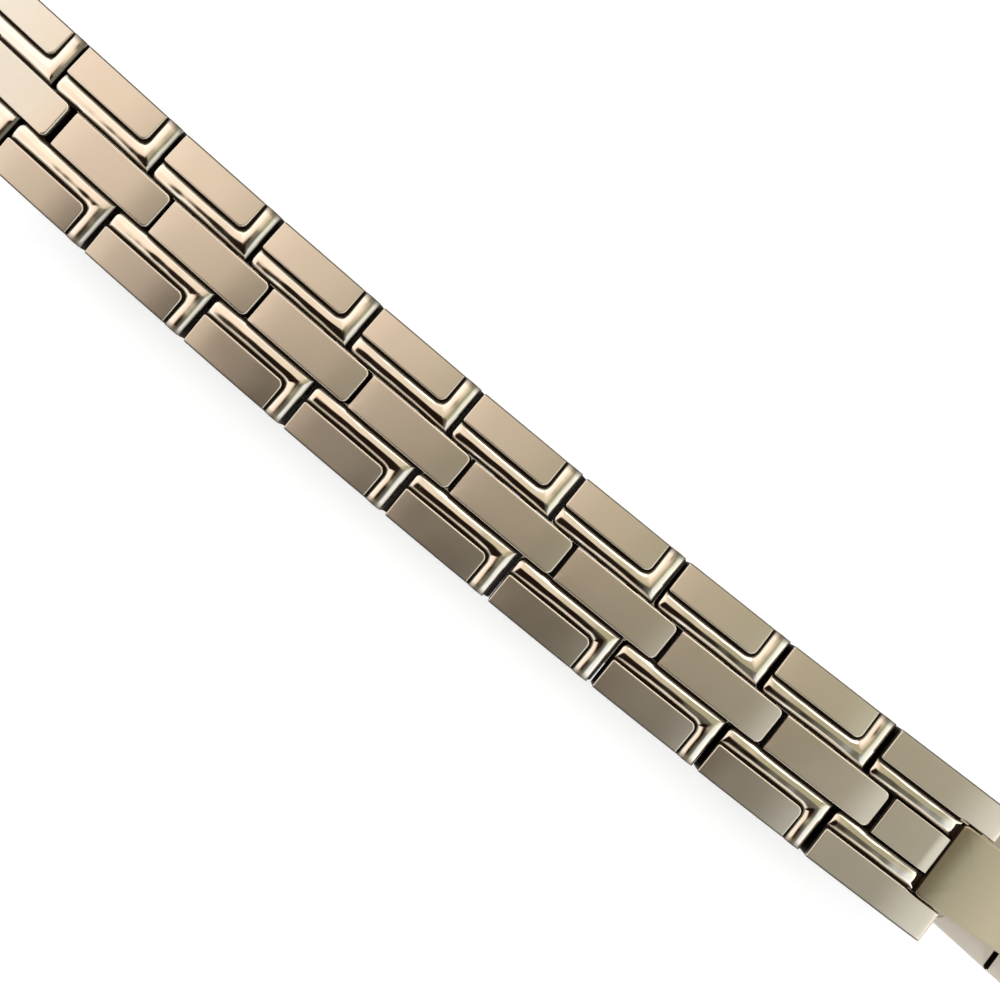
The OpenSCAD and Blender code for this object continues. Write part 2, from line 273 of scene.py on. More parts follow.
def tablet(outline, bottom, top, low_r=0.0, top_r=SOFT_EDGE, levels=(), clip=None, pocket=None,
           shares=(0.04, 0.2, 0.45, 0.75, 0.92, 1)):
    """Closed body over an outline, as rings from the middle of its back to the middle of its face.

    A ring is the outline drawn in along its normals. An edge of radius r is the rings at
    inset r (1 - cos a) and r (1 - sin a) short of the face, for a from 0 to 90 degrees.
    Farther in, a ring is a share of the way from the outline to its middle line. top gives
    the face's height from x and y, levels the heights of more rings up the wall, clip the
    least and greatest x at a height, and pocket the x, radius and depth of a round pocket
    in the back.
    """
    points, normals = outline
    x, y = points[..., 0], points[..., 1]
    half = min(np.ptp(y), np.ptp(x)) / 2
    mean = points.mean(0)
    least_x, most_x = x.min() + half, x.max() - half
    between = (mean[:, 0] >= least_x) & (mean[:, 0] <= most_x)
    line_x = np.clip(mean[:, 0], least_x, most_x)
    line = np.stack([line_x, np.interp(line_x, *mean[between].T)], -1)
    low_r = np.broadcast_to(low_r, x.shape)
    top_r = np.broadcast_to(top_r, x.shape)
    rings = []

    def ring(inset, share, height):
        flat = points - normals * inset[..., None]
        flat = flat + share * (line[None] - flat)
        z = height(flat[..., 0], flat[..., 1])
        if clip:
            least, most = clip(z)
            flat = np.stack([np.clip(flat[..., 0], least, most), flat[..., 1]], -1)
        rings.append(np.concatenate([flat, z[..., None]], -1))

    angles = np.linspace(0, math.pi / 2, 5)
    if pocket:
        centre = np.array([pocket[0], mean[0, 1]])
        ray = points - centre
        ray = ray / np.linalg.norm(ray, axis=-1, keepdims=True)
        for radius, height in ((0, pocket[2]), (pocket[1], pocket[2]), (pocket[1], 0)):
            flat = centre + radius * ray
            rings.append(np.concatenate([flat, np.full(x.shape + (1,), bottom + height)], -1))
    else:
        ring(low_r, 1, level(bottom))
    for a in angles[::-1]:
        ring(low_r * (1 - math.cos(a)), 0, lambda x, y: bottom + low_r * (1 - math.sin(a)))
    for wall_z in levels:
        ring(0 * x, 0, level(wall_z))
    for a in angles:
        ring(top_r * (1 - math.cos(a)), 0, lambda x, y: top(x, y) - top_r * (1 - math.sin(a)))
    for share in shares:
        ring(top_r, share, top)
    rings = np.array(rings)
    loops = np.concatenate([rings[:, 0], rings[:, 1, ::-1]], 1)
    return loops.reshape(-1, 3), quads(len(rings), loops.shape[1]).tolist()


def level(z):
    """A flat face at height z."""
    return lambda x, y: np.full_like(x, z)


def crowned(x0, x1, slope=0.0, ease=TONGUE_EASE):
    """A face full along its length: it falls off with the square of the distance from the
    middle, again with the square of that past an ease's length from each end, by ease in
    all at the tongue, and slopes toward the band's edge by slope for each millimetre."""
    def height(x, y):
        along = (2 * x - x0 - x1) / (x1 - x0)
        start = np.maximum(1 - (x - x0) / START_LEN, 0)
        tongue = np.maximum(1 - (x1 - x) / TONGUE_LEN, 0)
        return (HALF_T - PANEL_CROWN * along ** 2 - START_EASE * start ** 2
                - ease * tongue ** 2 - slope * np.maximum(y - SATIN_Y, 0))
    return height


def bead(x0, x1, arm=True):
    """Polished bead of the upper row, a segment of a circle carried along its route.

    The route has an inner side on the satin panel's border and an outer side on the link's
    own. With an arm they both turn the corner, the inner one round, the outer one sharp:
    there a station lies on a ray from the inner corner's centre. A point is I + q (O - I),
    with q from the groove to 1 as the arc's angle grows, and it rises by the arc's height,
    less at the rounded nose where the bead starts.
    """
    chord = BEAD_W - GROOVE_W
    radius = (chord * chord / 4 + BEAD_RISE * BEAD_RISE) / (2 * BEAD_RISE)
    spread = math.asin(chord / 2 / radius)
    angle = np.linspace(-spread, spread, 19)
    q = (GROOVE_W + chord / 2 + radius * np.sin(angle)) / BEAD_W
    rise = radius * np.cos(angle) - (radius - BEAD_RISE)
    stop = x1 - (BEAD_W + SATIN_CORNER if arm else END_NOSE)
    near = x0 + BEAD_NOSE * (1 - np.cos(np.linspace(0, math.pi / 2, 8)))
    run = np.concatenate([near, np.linspace(x0 + BEAD_NOSE, stop, 9)[1:]])
    if not arm:
        far = x1 - END_NOSE * (1 - np.cos(np.linspace(math.pi / 2, 0, 8)))
        run = np.concatenate([run, far[1:]])
    inner = np.stack([run, np.full_like(run, SATIN_Y)], 1)
    outer = np.stack([run, np.full_like(run, ROW_Y)], 1)
    if arm:
        centre = np.array([stop, SATIN_Y + SATIN_CORNER])
        turn = np.linspace(-math.pi / 2, 0, 15)[1:]
        ray = np.stack([np.cos(turn), np.sin(turn)], 1)
        reach = (SATIN_CORNER + BEAD_W) / np.abs(ray).max(1, keepdims=True)
        cross = np.linspace(centre[1], HALF_W, 5)[1:]
        inner = np.vstack([inner, centre + SATIN_CORNER * ray,
                           np.stack([np.full_like(cross, x1 - BEAD_W), cross], 1)])
        outer = np.vstack([outer, centre + reach * ray,
                           np.stack([np.full_like(cross, x1), cross], 1)])
    flat = inner[:, None] + q[None, :, None] * (outer - inner)[:, None]
    away = np.maximum(BEAD_CORNER - (1 - q) * BEAD_W, 0)
    shift = BEAD_CORNER - np.sqrt(BEAD_CORNER ** 2 - away ** 2)
    fade = np.clip(1 - (flat[..., 0] - x0) / (3 * BEAD_CORNER), 0, 1)
    flat[..., 0] += shift * fade
    share = np.clip((flat[..., 0] - x0 - shift) / BEAD_NOSE, 0, 1)
    nose = NOSE_SHARE + (1 - NOSE_SHARE) * np.sqrt(1 - (1 - share) ** 2)
    if not arm:
        share = np.clip((x1 - flat[..., 0]) / END_NOSE, 0, 1)
        nose *= 1 - (1 - END_SHARE) * (1 - share) ** FALL_POWER
    along = (2 * flat[..., 0] - x0 - x1) / (x1 - x0)
    z = BEAD_Z + (rise - BEAD_CROWN * along ** 2 * rise / BEAD_RISE) * nose
    arc = np.concatenate([flat, z[..., None]], -1)
    foot = np.concatenate([(flat[:, 0] + flat[:, -1]) / 2, np.full((len(flat), 1), BEAD_Z)], 1)
    loops = np.concatenate([arc, foot[:, None]], 1)
    count = loops.shape[1]
    first = (len(loops) - 1) * count
    j = np.arange(count - 1)
    after = (j + 1) % count
    hub = np.full_like(j, count - 1)
    caps = np.concatenate([np.stack([hub, j, after], 1)[:-1],
                           np.stack([hub, after, j], 1)[:-1] + first])
    return loops.reshape(-1, 3), [*quads(len(loops), count).tolist(), *caps.tolist()]


def start_clip(z):
    """Least x of a side link at a height: its lower start corner is round about the hinge pin."""
    least = -np.sqrt(np.maximum(END_ROUND ** 2 - np.minimum(z, 0) ** 2, 0))
    return np.maximum(least, -SETBACK), np.inf


def round_levels(radius, count=9):
    """Heights at even angles round a circle of that radius, from the back up to its middle."""
    deepest = math.asin(min(HALF_T / radius, 1))
    return tuple(-radius * np.sin(np.linspace(deepest, 0, count))[1:])


def edges(outline, other=0.0):
    """Edge radius at each outline point: EDGE_R toward the band's edge and other elsewhere,
    blended by the square of the outward normal's share."""
    return other + (EDGE_R - other) * np.maximum(outline[1][..., 1], 0) ** 2


def side_base(x0, x1, corner, lip=LIP):
    """Body of a row below its bead's feet, a ledge wider than the bead toward the middle row.
    A corner that isn't sharp is that of a start round about its hinge pin, and a lip
    reaches past x1, hollow about the next pin."""
    def clip(z):
        deep = np.sqrt(np.maximum(LIP_ROUND ** 2 - np.minimum(z, 0) ** 2, 0))
        most = np.maximum(x1 + SIDE_GAP + SETBACK - deep, x1)
        return (start_clip(z)[0] if corner > SHARP else x0), np.minimum(most, x1 + lip)

    outline = plan(x0, x1 + lip, ROW_Y - ROW_LEDGE, HALF_W,
                   (corner, SHARP, PLAN_CORNER, PLAN_CORNER))
    return tablet(outline, -HALF_T, level(BEAD_Z), low_r=edges(outline), top_r=0.0,
                  levels=round_levels(END_ROUND), clip=clip)


def panel(x0, x1):
    """Satin panel of a row, from the bead's feet up."""
    outline = plan(x0, x1, SATIN_Y, HALF_W, (PLAN_CORNER, SATIN_CORNER, PLAN_CORNER, PLAN_CORNER),
                   along=20, arc=8)
    return tablet(outline, BEAD_Z, crowned(x0, x1, PANEL_SLOPE, PANEL_EASE),
                  top_r=edges(outline, SOFT_EDGE))


def tongue_clip(x0, start_r, pin_x):
    """Least and greatest x of a centre piece: its start is hollow about its own hinge pin
    where start_r is given, with a lip below, and its tongue is round below about the pin
    at pin_x."""
    def clip(z):
        hollow = np.sqrt(np.maximum(start_r ** 2 - z ** 2, 0))
        least = np.maximum(hollow, np.where(z < LIP_TOP, x0 - LIP, x0))
        below = np.minimum(z, 0)
        round_end = np.sqrt(np.maximum(HALF_T ** 2 - below ** 2, 0))
        most = pin_x + np.where(z < 0, np.minimum(round_end, TONGUE_OVER), TONGUE_OVER)
        return least, most
    return clip


def centre(x0, pin_x, start_r=0.0, pocket=None, face=None):
    """Centre piece from x0 to a tongue held by the pin at pin_x."""
    lip = LIP if start_r else 0.0
    outline = plan(x0 - lip, pin_x + TONGUE_OVER, -CENTRE_HALF, CENTRE_HALF,
                   (PLAN_CORNER, TONGUE_CORNER, PLAN_CORNER, TONGUE_CORNER), along=20, arc=9)
    heights = tuple(-HALF_T * np.cos(np.linspace(0, math.pi / 2, 8))[1:]) + WALL_RINGS
    return tablet(outline, -HALF_T, face or crowned(x0, pin_x + TONGUE_OVER), top_r=TONGUE_EDGE,
                  levels=heights, clip=tongue_clip(x0, start_r, pin_x), pocket=pocket)


def ear_clip(pin_x, way):
    """Greatest x, or least where way is -1, of an ear that is round about its pin."""
    def clip(z):
        reach = np.sqrt(np.maximum(HALF_T ** 2 - z ** 2, 0))
        if way > 0:
            return start_clip(z)[0], pin_x + reach
        return pin_x - reach, np.inf
    return clip


def ear_face(pin_x, way):
    """An ear's face, which falls toward its round end with the square of the distance past
    the start of its ease."""
    def height(x, y):
        past = np.maximum(way * (x - pin_x) + EAR_EASE - HALF_T, 0) / EAR_EASE
        return HALF_T - EAR_FALL * past ** 2
    return height


def ear_row(x0, x1, pin_x, way):
    """Satin bar of an end link's row from x0 to x1, its ear round about the pin at pin_x."""
    outline = plan(x0, x1, SATIN_Y, HALF_W, (PLAN_CORNER,) * 4, along=20)
    x, y = outline[0][0].T
    past = np.clip(way * (x - pin_x + way * EAR_REACH) / EAR_STEP, 0, 1)
    inner = y < (SATIN_Y + HALF_W) / 2 - EAR_INNER
    outline[0][0, :, 1] = np.where(inner, y + (EAR_Y - SATIN_Y) * past, y)
    heights = tuple(HALF_T * np.sin(np.linspace(-math.pi / 2, EAR_TOP, 22))[1:])
    return tablet(outline, -HALF_T, ear_face(pin_x, way), low_r=edges(outline),
                  top_r=edges(outline, SOFT_EDGE), levels=heights, clip=ear_clip(pin_x, way))


def block(x0, x1, half, top, edge=0.0, start_r=0.0):
    """Plain middle block of an end link, half on each side of the band's middle line. Where
    it has an edge radius its far end is a bevel that overhangs and falls with FALL_POWER of
    the distance past the bevel's start."""
    def face(x, y):
        past = np.clip((x - x1 - SHOULDER_OVER + SHOULDER_LEN) / SHOULDER_LEN, 0, 1)
        return top - SHOULDER_FALL * past ** FALL_POWER

    def clip(z):
        least, most = tongue_clip(x0, start_r, 2 * x1)(z)
        return least, np.where(z < OVERHANG_Z, x1, most)

    lip = LIP if start_r and not edge else 0.0
    over = SHOULDER_OVER if edge else 0.0
    outline = plan(x0 - lip, x1 + over, -half, half, (edge + 0.01,) * 4, along=24, bunch=1.8)
    heights = tuple(np.linspace(-1, 1, 9) * WEB_RINGS)
    return tablet(outline, -HALF_T, face if edge else level(top), top_r=edge,
                  levels=heights, clip=clip, shares=np.linspace(0.05, 1, 15))


def clasp():
    """The clasp plate, drawn straight and then bent: a point at x along the plate and z out
    of it goes to the angle x / R on the circle of radius R + z. Its face falls toward each
    end with the square of the distance past the start of its ease."""
    bow = CLASP_R * CLASP_ARC / 2
    outline = plan(-bow - PLATE_OVER, bow + PLATE_OVER, -PLATE_HALF, PLATE_HALF,
                   (PLATE_CORNER,) * 4, along=40, arc=7)

    def clip(z):
        reach = bow + np.sqrt(np.maximum(PLATE_OVER ** 2 - np.minimum(z, 0) ** 2, 0))
        return -reach, reach

    def face(x, y):
        past = np.maximum(1 - (bow + PLATE_OVER - np.abs(x)) / PLATE_LEN, 0)
        return HALF_T - PLATE_EASE * past ** 2

    side_edges = EDGE_R / 2 * (1 + outline[1][..., 1] ** 2)
    points, faces = tablet(outline, -HALF_T, face, low_r=SOFT_EDGE, top_r=side_edges,
                           levels=round_levels(PLATE_OVER), clip=clip)
    angle = points[:, 0] / CLASP_R
    radius = CLASP_R + points[:, 2]
    middle = math.cos(CLASP_ARC / 2) * CLASP_R
    bent = np.stack([CLASP_REACH / 2 + radius * np.sin(angle), points[:, 1],
                     radius * np.cos(angle) - middle], 1)
    return bent, faces


def out_of_face(points):
    """Height of each point in its link's frame."""
    return points[:, 2]


def out_of_plate(points):
    """Height of each point over the middle of the clasp plate's curve, but 0 on its end walls
    up to their edges, which the end links shade: there the painted shade is full."""
    middle = math.cos(CLASP_ARC / 2) * CLASP_R
    across, up = points[:, 0] - CLASP_REACH / 2, points[:, 2] + middle
    past = CLASP_R * (np.abs(np.arctan2(across, up)) - CLASP_ARC / 2)
    return np.where(past > PLATE_OVER - EDGE_R / 2, 0, np.hypot(across, up) - CLASP_R)


def closed_mesh(name, bodies, rows=BOTH, bores=(), height=out_of_face, faced=(-np.inf, np.inf)):
    """Mesh of closed bodies drawn for the upper row, or for both rows, in metres.

    Points that meet are merged, faces turned outward, and bores cut across the band.
    Its UV map is the link's own x and y in millimetres, for the grain. Its shade attribute
    is painted shade: 1 on walls that face another piece, which lie between the two x of faced,
    and fading to 0 toward the face, at the back and on the band's edges, but for a thin
    painted dark line along the face's long edge.
    """
    parts = bmesh.new()
    for points, faces in bodies:
        for row in rows:
            part = bpy.data.meshes.new("part")
            part.from_pydata((points * (1, row, 1)).tolist(), [], faces)
            one = bmesh.new()
            one.from_mesh(part)
            bmesh.ops.remove_doubles(one, verts=one.verts, dist=MERGE)
            bmesh.ops.dissolve_degenerate(one, dist=MERGE, edges=one.edges)
            bmesh.ops.recalc_face_normals(one, faces=one.faces)
            one.to_mesh(part)
            one.free()
            parts.from_mesh(part)
            bpy.data.meshes.remove(part)
    mesh = bpy.data.meshes.new(name)
    parts.to_mesh(mesh)
    parts.free()
    if bores:
        mesh = drilled(mesh, bores)
    flat = np.empty(len(mesh.vertices) * 3)
    mesh.vertices.foreach_get("co", flat)
    flat = flat.reshape(-1, 3)
    corner = np.empty(len(mesh.loops), np.int64)
    mesh.loops.foreach_get("vertex_index", corner)
    z = height(flat)
    across = np.abs(flat[:, 1])
    # Painted shade, darkest down in the gaps between pieces, and a painted dark line along the long
    # edges
    hidden = np.clip((FACE_RIM - z) / RIM_FADE, 0, 1)
    hidden *= (z > BACK_RIM - HALF_T) & (across < HALF_W - SIDE_RIM)
    hidden *= (flat[:, 0] > faced[0]) & (flat[:, 0] < faced[1])
    edge = LINE_SHADE * ((z > LINE_Z) & (across > HALF_W - LINE_W))
    painted_shade = mesh.attributes.new("painted_shade", "FLOAT", "POINT")
    painted_shade.data.foreach_set("value", np.maximum(hidden, edge))
    layer = mesh.uv_layers.new(name="along_and_across")
    layer.data.foreach_set("uv", flat[corner][:, :2].ravel())
    mesh.vertices.foreach_set("co", (flat * MM).ravel())
    mesh.shade_smooth()
    mesh.set_sharp_from_angle(angle=CREASE)
    mesh.update()
    return mesh


def drilled(mesh, bores):
    """The mesh with round bores of BORE_R right across the band at each (x, z)."""
    work = bpy.data.objects.new("work", mesh)
    bpy.context.scene.collection.objects.link(work)
    tool = bmesh.new()
    for x, z in bores:
        turn = Matrix.Translation((x, 0, z)) @ Matrix.Rotation(math.pi / 2, 4, "X")
        bmesh.ops.create_cone(tool, cap_ends=True, segments=32, radius1=BORE_R, radius2=BORE_R,
                              depth=4 * HALF_W, matrix=turn)
    tool_mesh = bpy.data.meshes.new("tool")
    tool.to_mesh(tool_mesh)
    tool.free()
    cutter = bpy.data.objects.new("cutter", tool_mesh)
    bpy.context.scene.collection.objects.link(cutter)
    cut = work.modifiers.new("bores", "BOOLEAN")
    cut.operation = "DIFFERENCE"
    cut.solver = "EXACT"
    cut.use_self = True
    cut.object = cutter
    seen = work.evaluated_get(bpy.context.evaluated_depsgraph_get())
    result = bpy.data.meshes.new_from_object(seen)
    bpy.data.objects.remove(work)
    bpy.data.objects.remove(cutter)
    return result


def linear(code):
    """Linear colour of an sRGB hex value."""
    channels = [int(code[i:i + 2], 16) / 255 for i in (1, 3, 5)]
    return [c / 12.92 if c <= 0.04045 else ((c + 0.055) / 1.055) ** 2.4 for c in channels] + [1.0]


def add(tree, kind, settings=None, **links):
    """Adds a node: settings are its properties or socket values, links its inputs' sources,
    where i0 is the first input."""
    node = tree.nodes.new(kind)
    for key, value in (settings or {}).items():
        if isinstance(key, int) or key in node.inputs:
            node.inputs[key].default_value = value
        else:
            setattr(node, key, value)
    for key, source in links.items():
        tree.links.new(source, node.inputs[int(key[1:])] if key[0] == "i" and key[1:].isdigit()
                       else node.inputs[key.replace("_", " ")])
    return node


def noise(tree, where, scale, detail):
    """A cloudy pattern at a place, with scale clouds to the place's unit."""
    return add(tree, "ShaderNodeTexNoise", {"Scale": scale, "Detail": detail},
               Vector=where).outputs["Fac"]


def new_material(name, color, **sockets):
    """A node material with a Principled shader: its tree and its shader."""
    material = bpy.data.materials.new(name)
    material.use_nodes = True
    material.diffuse_color = linear(color)
    shader = material.node_tree.nodes["Principled BSDF"]
    shader.inputs["Base Color"].default_value = linear(color)
    for key, value in sockets.items():
        shader.inputs[key.replace("_", " ")].default_value = value
    return material, material.node_tree, shader


def darkened(tree, shader, color, rough, shade_color):
    """Sends a colour and a roughness to the shader. Where the mesh's shade attribute is up they go
    over to a dark painted shade colour, for the gaps between pieces, and to a dull roughness."""
    painted_shade = add(tree, "ShaderNodeAttribute", {"attribute_name": "painted_shade"}).outputs["Fac"]
    tone = add(tree, "ShaderNodeMix", {"data_type": "RGBA"}, Factor=painted_shade)
    tree.links.new(color, tone.inputs["A"])
    tone.inputs["B"].default_value = linear(shade_color)
    tree.links.new(tone.outputs["Result"], shader.inputs["Base Color"])
    dull = add(tree, "ShaderNodeMix", {"B": DULL}, Factor=painted_shade, A=rough)
    tree.links.new(dull.outputs["Result"], shader.inputs["Roughness"])


def satin_steel(name, deep, pale):
    """Stainless steel, blasted and drawn lengthwise on a fine belt. It glows softly, with a
    grain of hairlines along the band too fine to count, between a deep and a pale tone."""
    material, tree, shader = new_material(name, deep, Metallic=1.0, Roughness=0.36)
    uv = add(tree, "ShaderNodeUVMap", {"uv_map": "along_and_across"}).outputs["UV"]
    # Hairlines a tenth of a millimetre apart and some two millimetres long
    drawn = add(tree, "ShaderNodeMapping", {"Scale": (0.5, 10.0, 1.0)}, Vector=uv).outputs["Vector"]
    hair = noise(tree, drawn, 1.0, 3.0)
    place_now = add(tree, "ShaderNodeTexCoord").outputs["Object"]
    # Blasting marks about 0.15 mm wide, and handling haze some 6 mm wide
    grit = noise(tree, place_now, 6500.0, 2.0)
    haze = noise(tree, place_now, 160.0, 2.0)
    mixed = add(tree, "ShaderNodeMix", {"Factor": 0.5}, A=hair, B=grit).outputs["Result"]
    rough = add(tree, "ShaderNodeMapRange",
                {"From Min": 0.3, "From Max": 0.7, "To Min": 0.3, "To Max": 0.38}, Value=haze)
    tone = add(tree, "ShaderNodeMix", {"data_type": "RGBA"}, Factor=mixed)
    tone.inputs["A"].default_value = linear(deep)
    tone.inputs["B"].default_value = linear(pale)
    # 2A211A is painted shade on the walls in the gaps between pieces
    darkened(tree, shader, tone.outputs["Result"], rough.outputs["Result"], "#2A211A")
    bump = add(tree, "ShaderNodeBump", {"Strength": 0.2, "Distance": 0.000003}, Height=mixed)
    tree.links.new(bump.outputs["Normal"], shader.inputs["Normal"])
    return material


def polished_steel():
    """Stainless steel buffed on a wheel by hand: a mirror with a trace of buffing haze, whose
    gentle waves, a little over two millimetres long, bend what it reflects."""
    material, tree, shader = new_material("polished_steel", "#D6D0C5", Metallic=1.0, Roughness=0.08)
    place_now = add(tree, "ShaderNodeTexCoord").outputs["Object"]
    haze = noise(tree, place_now, 900.0, 3.0)
    rough = add(tree, "ShaderNodeMapRange",
                {"From Min": 0.35, "From Max": 0.75, "To Min": 0.07, "To Max": 0.16}, Value=haze)
    full = add(tree, "ShaderNodeRGB")
    full.outputs[0].default_value = linear("#D6D0C5")
    # 2A211A is painted shade on the walls in the gaps between pieces
    darkened(tree, shader, full.outputs[0], rough.outputs["Result"], "#2A211A")
    waves = noise(tree, place_now, 420.0, 1.0)
    bump = add(tree, "ShaderNodeBump", {"Strength": 0.5, "Distance": 0.00025}, Height=waves)
    tree.links.new(bump.outputs["Normal"], shader.inputs["Normal"])
    return material


def pin_steel():
    """Drawn pin wire: dark grey steel, dull from the draw."""
    material, tree, shader = new_material("drawn_pin_steel", "#5E5850", Metallic=1.0,
                                          Roughness=0.45)
    place_now = add(tree, "ShaderNodeTexCoord").outputs["Object"]
    cloud = noise(tree, place_now, 2600.0, 2.0)
    rough = add(tree, "ShaderNodeMapRange",
                {"From Min": 0.3, "From Max": 0.7, "To Min": 0.38, "To Max": 0.55}, Value=cloud)
    tree.links.new(rough.outputs["Result"], shader.inputs["Roughness"])
    return material


def plated_magnet():
    """Nickel-plated magnet: dark, smooth and a little cloudy."""
    material, tree, shader = new_material("nickel_plated_magnet", "#8B8986", Metallic=1.0,
                                          Roughness=0.22)
    place_now = add(tree, "ShaderNodeTexCoord").outputs["Object"]
    cloud = noise(tree, place_now, 1400.0, 3.0)
    rough = add(tree, "ShaderNodeMapRange",
                {"From Min": 0.3, "From Max": 0.7, "To Min": 0.16, "To Max": 0.3}, Value=cloud)
    tree.links.new(rough.outputs["Result"], shader.inputs["Roughness"])
    return material


def dress(name, mesh, where, material, slot, *nodes):
    """Sets a copy of a mesh in its place, gives it its finish and hides the imported nodes it
    stands for.
    """
    copy = mesh.copy()
    copy.name = name
    copy.transform(where)
    copy.materials.clear()
    copy.materials.append(material)
    piece = bpy.data.objects.new(name, copy)
    bpy.context.scene.collection.objects.link(piece)
    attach(piece, "root")
    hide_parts(*nodes)


def links(satin, polish):
    """The pieces of every link, satin side links, polished beads and centre link."""
    sides = closed_mesh("satin_sides", [side_base(-SETBACK, SIDE_END, BEAD_CORNER),
                                        panel(-SETBACK, SIDE_END - BEAD_W)],
                        bores=((0, 0), (FIXED_PIN, 0)))
    beads = closed_mesh("polished_beads", [bead(-SETBACK, SIDE_END)])
    pocket = (MAGNET_X, POCKET_R, POCKET_DEPTH)
    middle = closed_mesh("satin_centre", [centre(CENTRE_X, PITCH, HALF_T + SWING_GAP, pocket)],
                         rows=UPPER)
    for i in range(1, LINKS + 1):
        where = place(PINS[i - 1], PINS[i])
        side_node, centre_node = f"side_links_{i:02d}", f"centre_link_{i:02d}"
        dress(f"satin_sides_{i:02d}", sides, where, satin, "satin_steel", side_node)
        dress(f"polished_beads_{i:02d}", beads, where, polish, "polished_steel", side_node)
        dress(f"satin_centre_{i:02d}", middle, where, satin, "satin_steel", centre_node)


def first_end_link(satin, polish):
    """The end link at the shown end: satin rows that run on as ears, long beads and a web."""
    body = closed_mesh("satin_end_a", [
        ear_row(-SETBACK, END_A_LEN + HALF_T, END_A_LEN, 1),
        side_base(-SETBACK, SHOULDER_X, BEAD_CORNER, 0.0)],
        bores=((0, 0), (END_A_LEN, 0)), faced=(-np.inf, END_A_LEN))
    web = closed_mesh("satin_end_a_web", [
        block(CENTRE_X, SHOULDER_X, CENTRE_HALF, HALF_T, 0.05, HALF_T + SWING_GAP),
        block(CENTRE_X, SHOULDER_X, ROW_Y, BEAD_Z, 0.0, HALF_T + SWING_GAP)], rows=UPPER)
    beads = closed_mesh("polished_end_a", [bead(-SETBACK, SHOULDER_X + SHOULDER_OVER, arm=False)],
                        faced=(-np.inf, SHOULDER_X - SHOULDER_LEN))
    where = place(PINS[LINKS], PINS[LINKS + 1])
    dress("satin_end_rows_a", body, where, satin, "satin_steel", "end_link_a")
    dress("satin_end_web_a", web, where, satin, "satin_steel", "end_link_a")
    dress("polished_end_beads_a", beads, where, polish, "polished_steel", "end_link_a")


def second_end_link(satin, polish):
    """The hidden end link: ears for the clasp, a shoulder, beads and a tongue for link 1."""
    stop = END_B_LEN - SETBACK - SIDE_GAP
    body = closed_mesh("satin_end_b", [
        ear_row(-HALF_T, EAR_REACH + 0.5, 0.0, -1),
        side_base(EAR_REACH, stop, SHARP), panel(EAR_REACH, stop - BEAD_W)],
        bores=((0, 0),), faced=(0.0, np.inf))
    web = closed_mesh("satin_end_b_web", [
        block(EAR_REACH, stop, ROW_Y, BEAD_Z),
        centre(EAR_REACH, END_B_LEN, face=level(HALF_T))], rows=UPPER)
    beads = closed_mesh("polished_end_b", [bead(EAR_REACH, stop)])
    where = place(PINS[LINKS + 2], PINS[0])
    dress("satin_end_rows_b", body, where, satin, "satin_steel", "end_link_b")
    dress("satin_end_web_b", web, where, satin, "satin_steel", "end_link_b")
    dress("polished_end_beads_b", beads, where, polish, "polished_steel", "end_link_b")


def paint(node, material):
    """Gives a carried-over node its finish."""
    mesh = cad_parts[node].data
    mesh.materials.clear()
    mesh.materials.append(material)


def floor():
    """A plain pale board that the bracelet lies on, faintly lit through from below."""
    size = 1.2
    mesh = bpy.data.meshes.new("floor")
    corners = [(-size, -size, 0), (size, -size, 0), (size, size, 0), (-size, size, 0)]
    mesh.from_pydata(corners, [], [(0, 1, 2, 3)])
    material, tree, shader = new_material("matt_white_board", "#EAEDF5", Roughness=0.9)
    place_now = add(tree, "ShaderNodeTexCoord").outputs["Object"]
    cloud = noise(tree, place_now, 30.0, 4.0)
    tone = add(tree, "ShaderNodeMix", {"data_type": "RGBA"}, Factor=cloud)
    tone.inputs["A"].default_value = linear("#E6E9F2")
    tone.inputs["B"].default_value = linear("#EDF0F8")
    tree.links.new(tone.outputs["Result"], shader.inputs["Base Color"])
    shader.inputs["Emission Color"].default_value = linear("#EAF3F6")
    shader.inputs["Emission Strength"].default_value = 0.36
    mesh.materials.append(material)
    board = bpy.data.objects.new("floor", mesh)
    # A tenth of a millimetre below the links, so that the two never share a plane
    board.location = (0, 0, -0.0001)
    bpy.context.scene.collection.objects.link(board)


def fade(tree, value, least, most, low=0.0, high=1.0):
    """A smooth step of a value, from low at least to high at most."""
    return add(tree, "ShaderNodeMapRange",
               {"interpolation_type": "SMOOTHSTEP", "From Min": least, "From Max": most,
                "To Min": low, "To Max": high}, Value=value).outputs["Result"]


def blend(tree, factor, first, second):
    """A mix of two colours, each a hex value or another node's output."""
    mix = add(tree, "ShaderNodeMix", {"data_type": "RGBA"}, Factor=factor)
    for key, color in (("A", first), ("B", second)):
        if isinstance(color, str):
            mix.inputs[key].default_value = linear(color)
        else:
            tree.links.new(color, mix.inputs[key])
    return mix.outputs["Result"]


def tones(tree, value, stops):
    """A ramp of colours at rising values."""
    ramp = add(tree, "ShaderNodeValToRGB", Fac=value)
    elements = ramp.color_ramp.elements
    while len(elements) < len(stops):
        elements.new(1.0)
    for element, (at, code) in zip(elements, stops):
        element.position = at
        element.color = linear(code)
    return ramp.outputs["Color"]


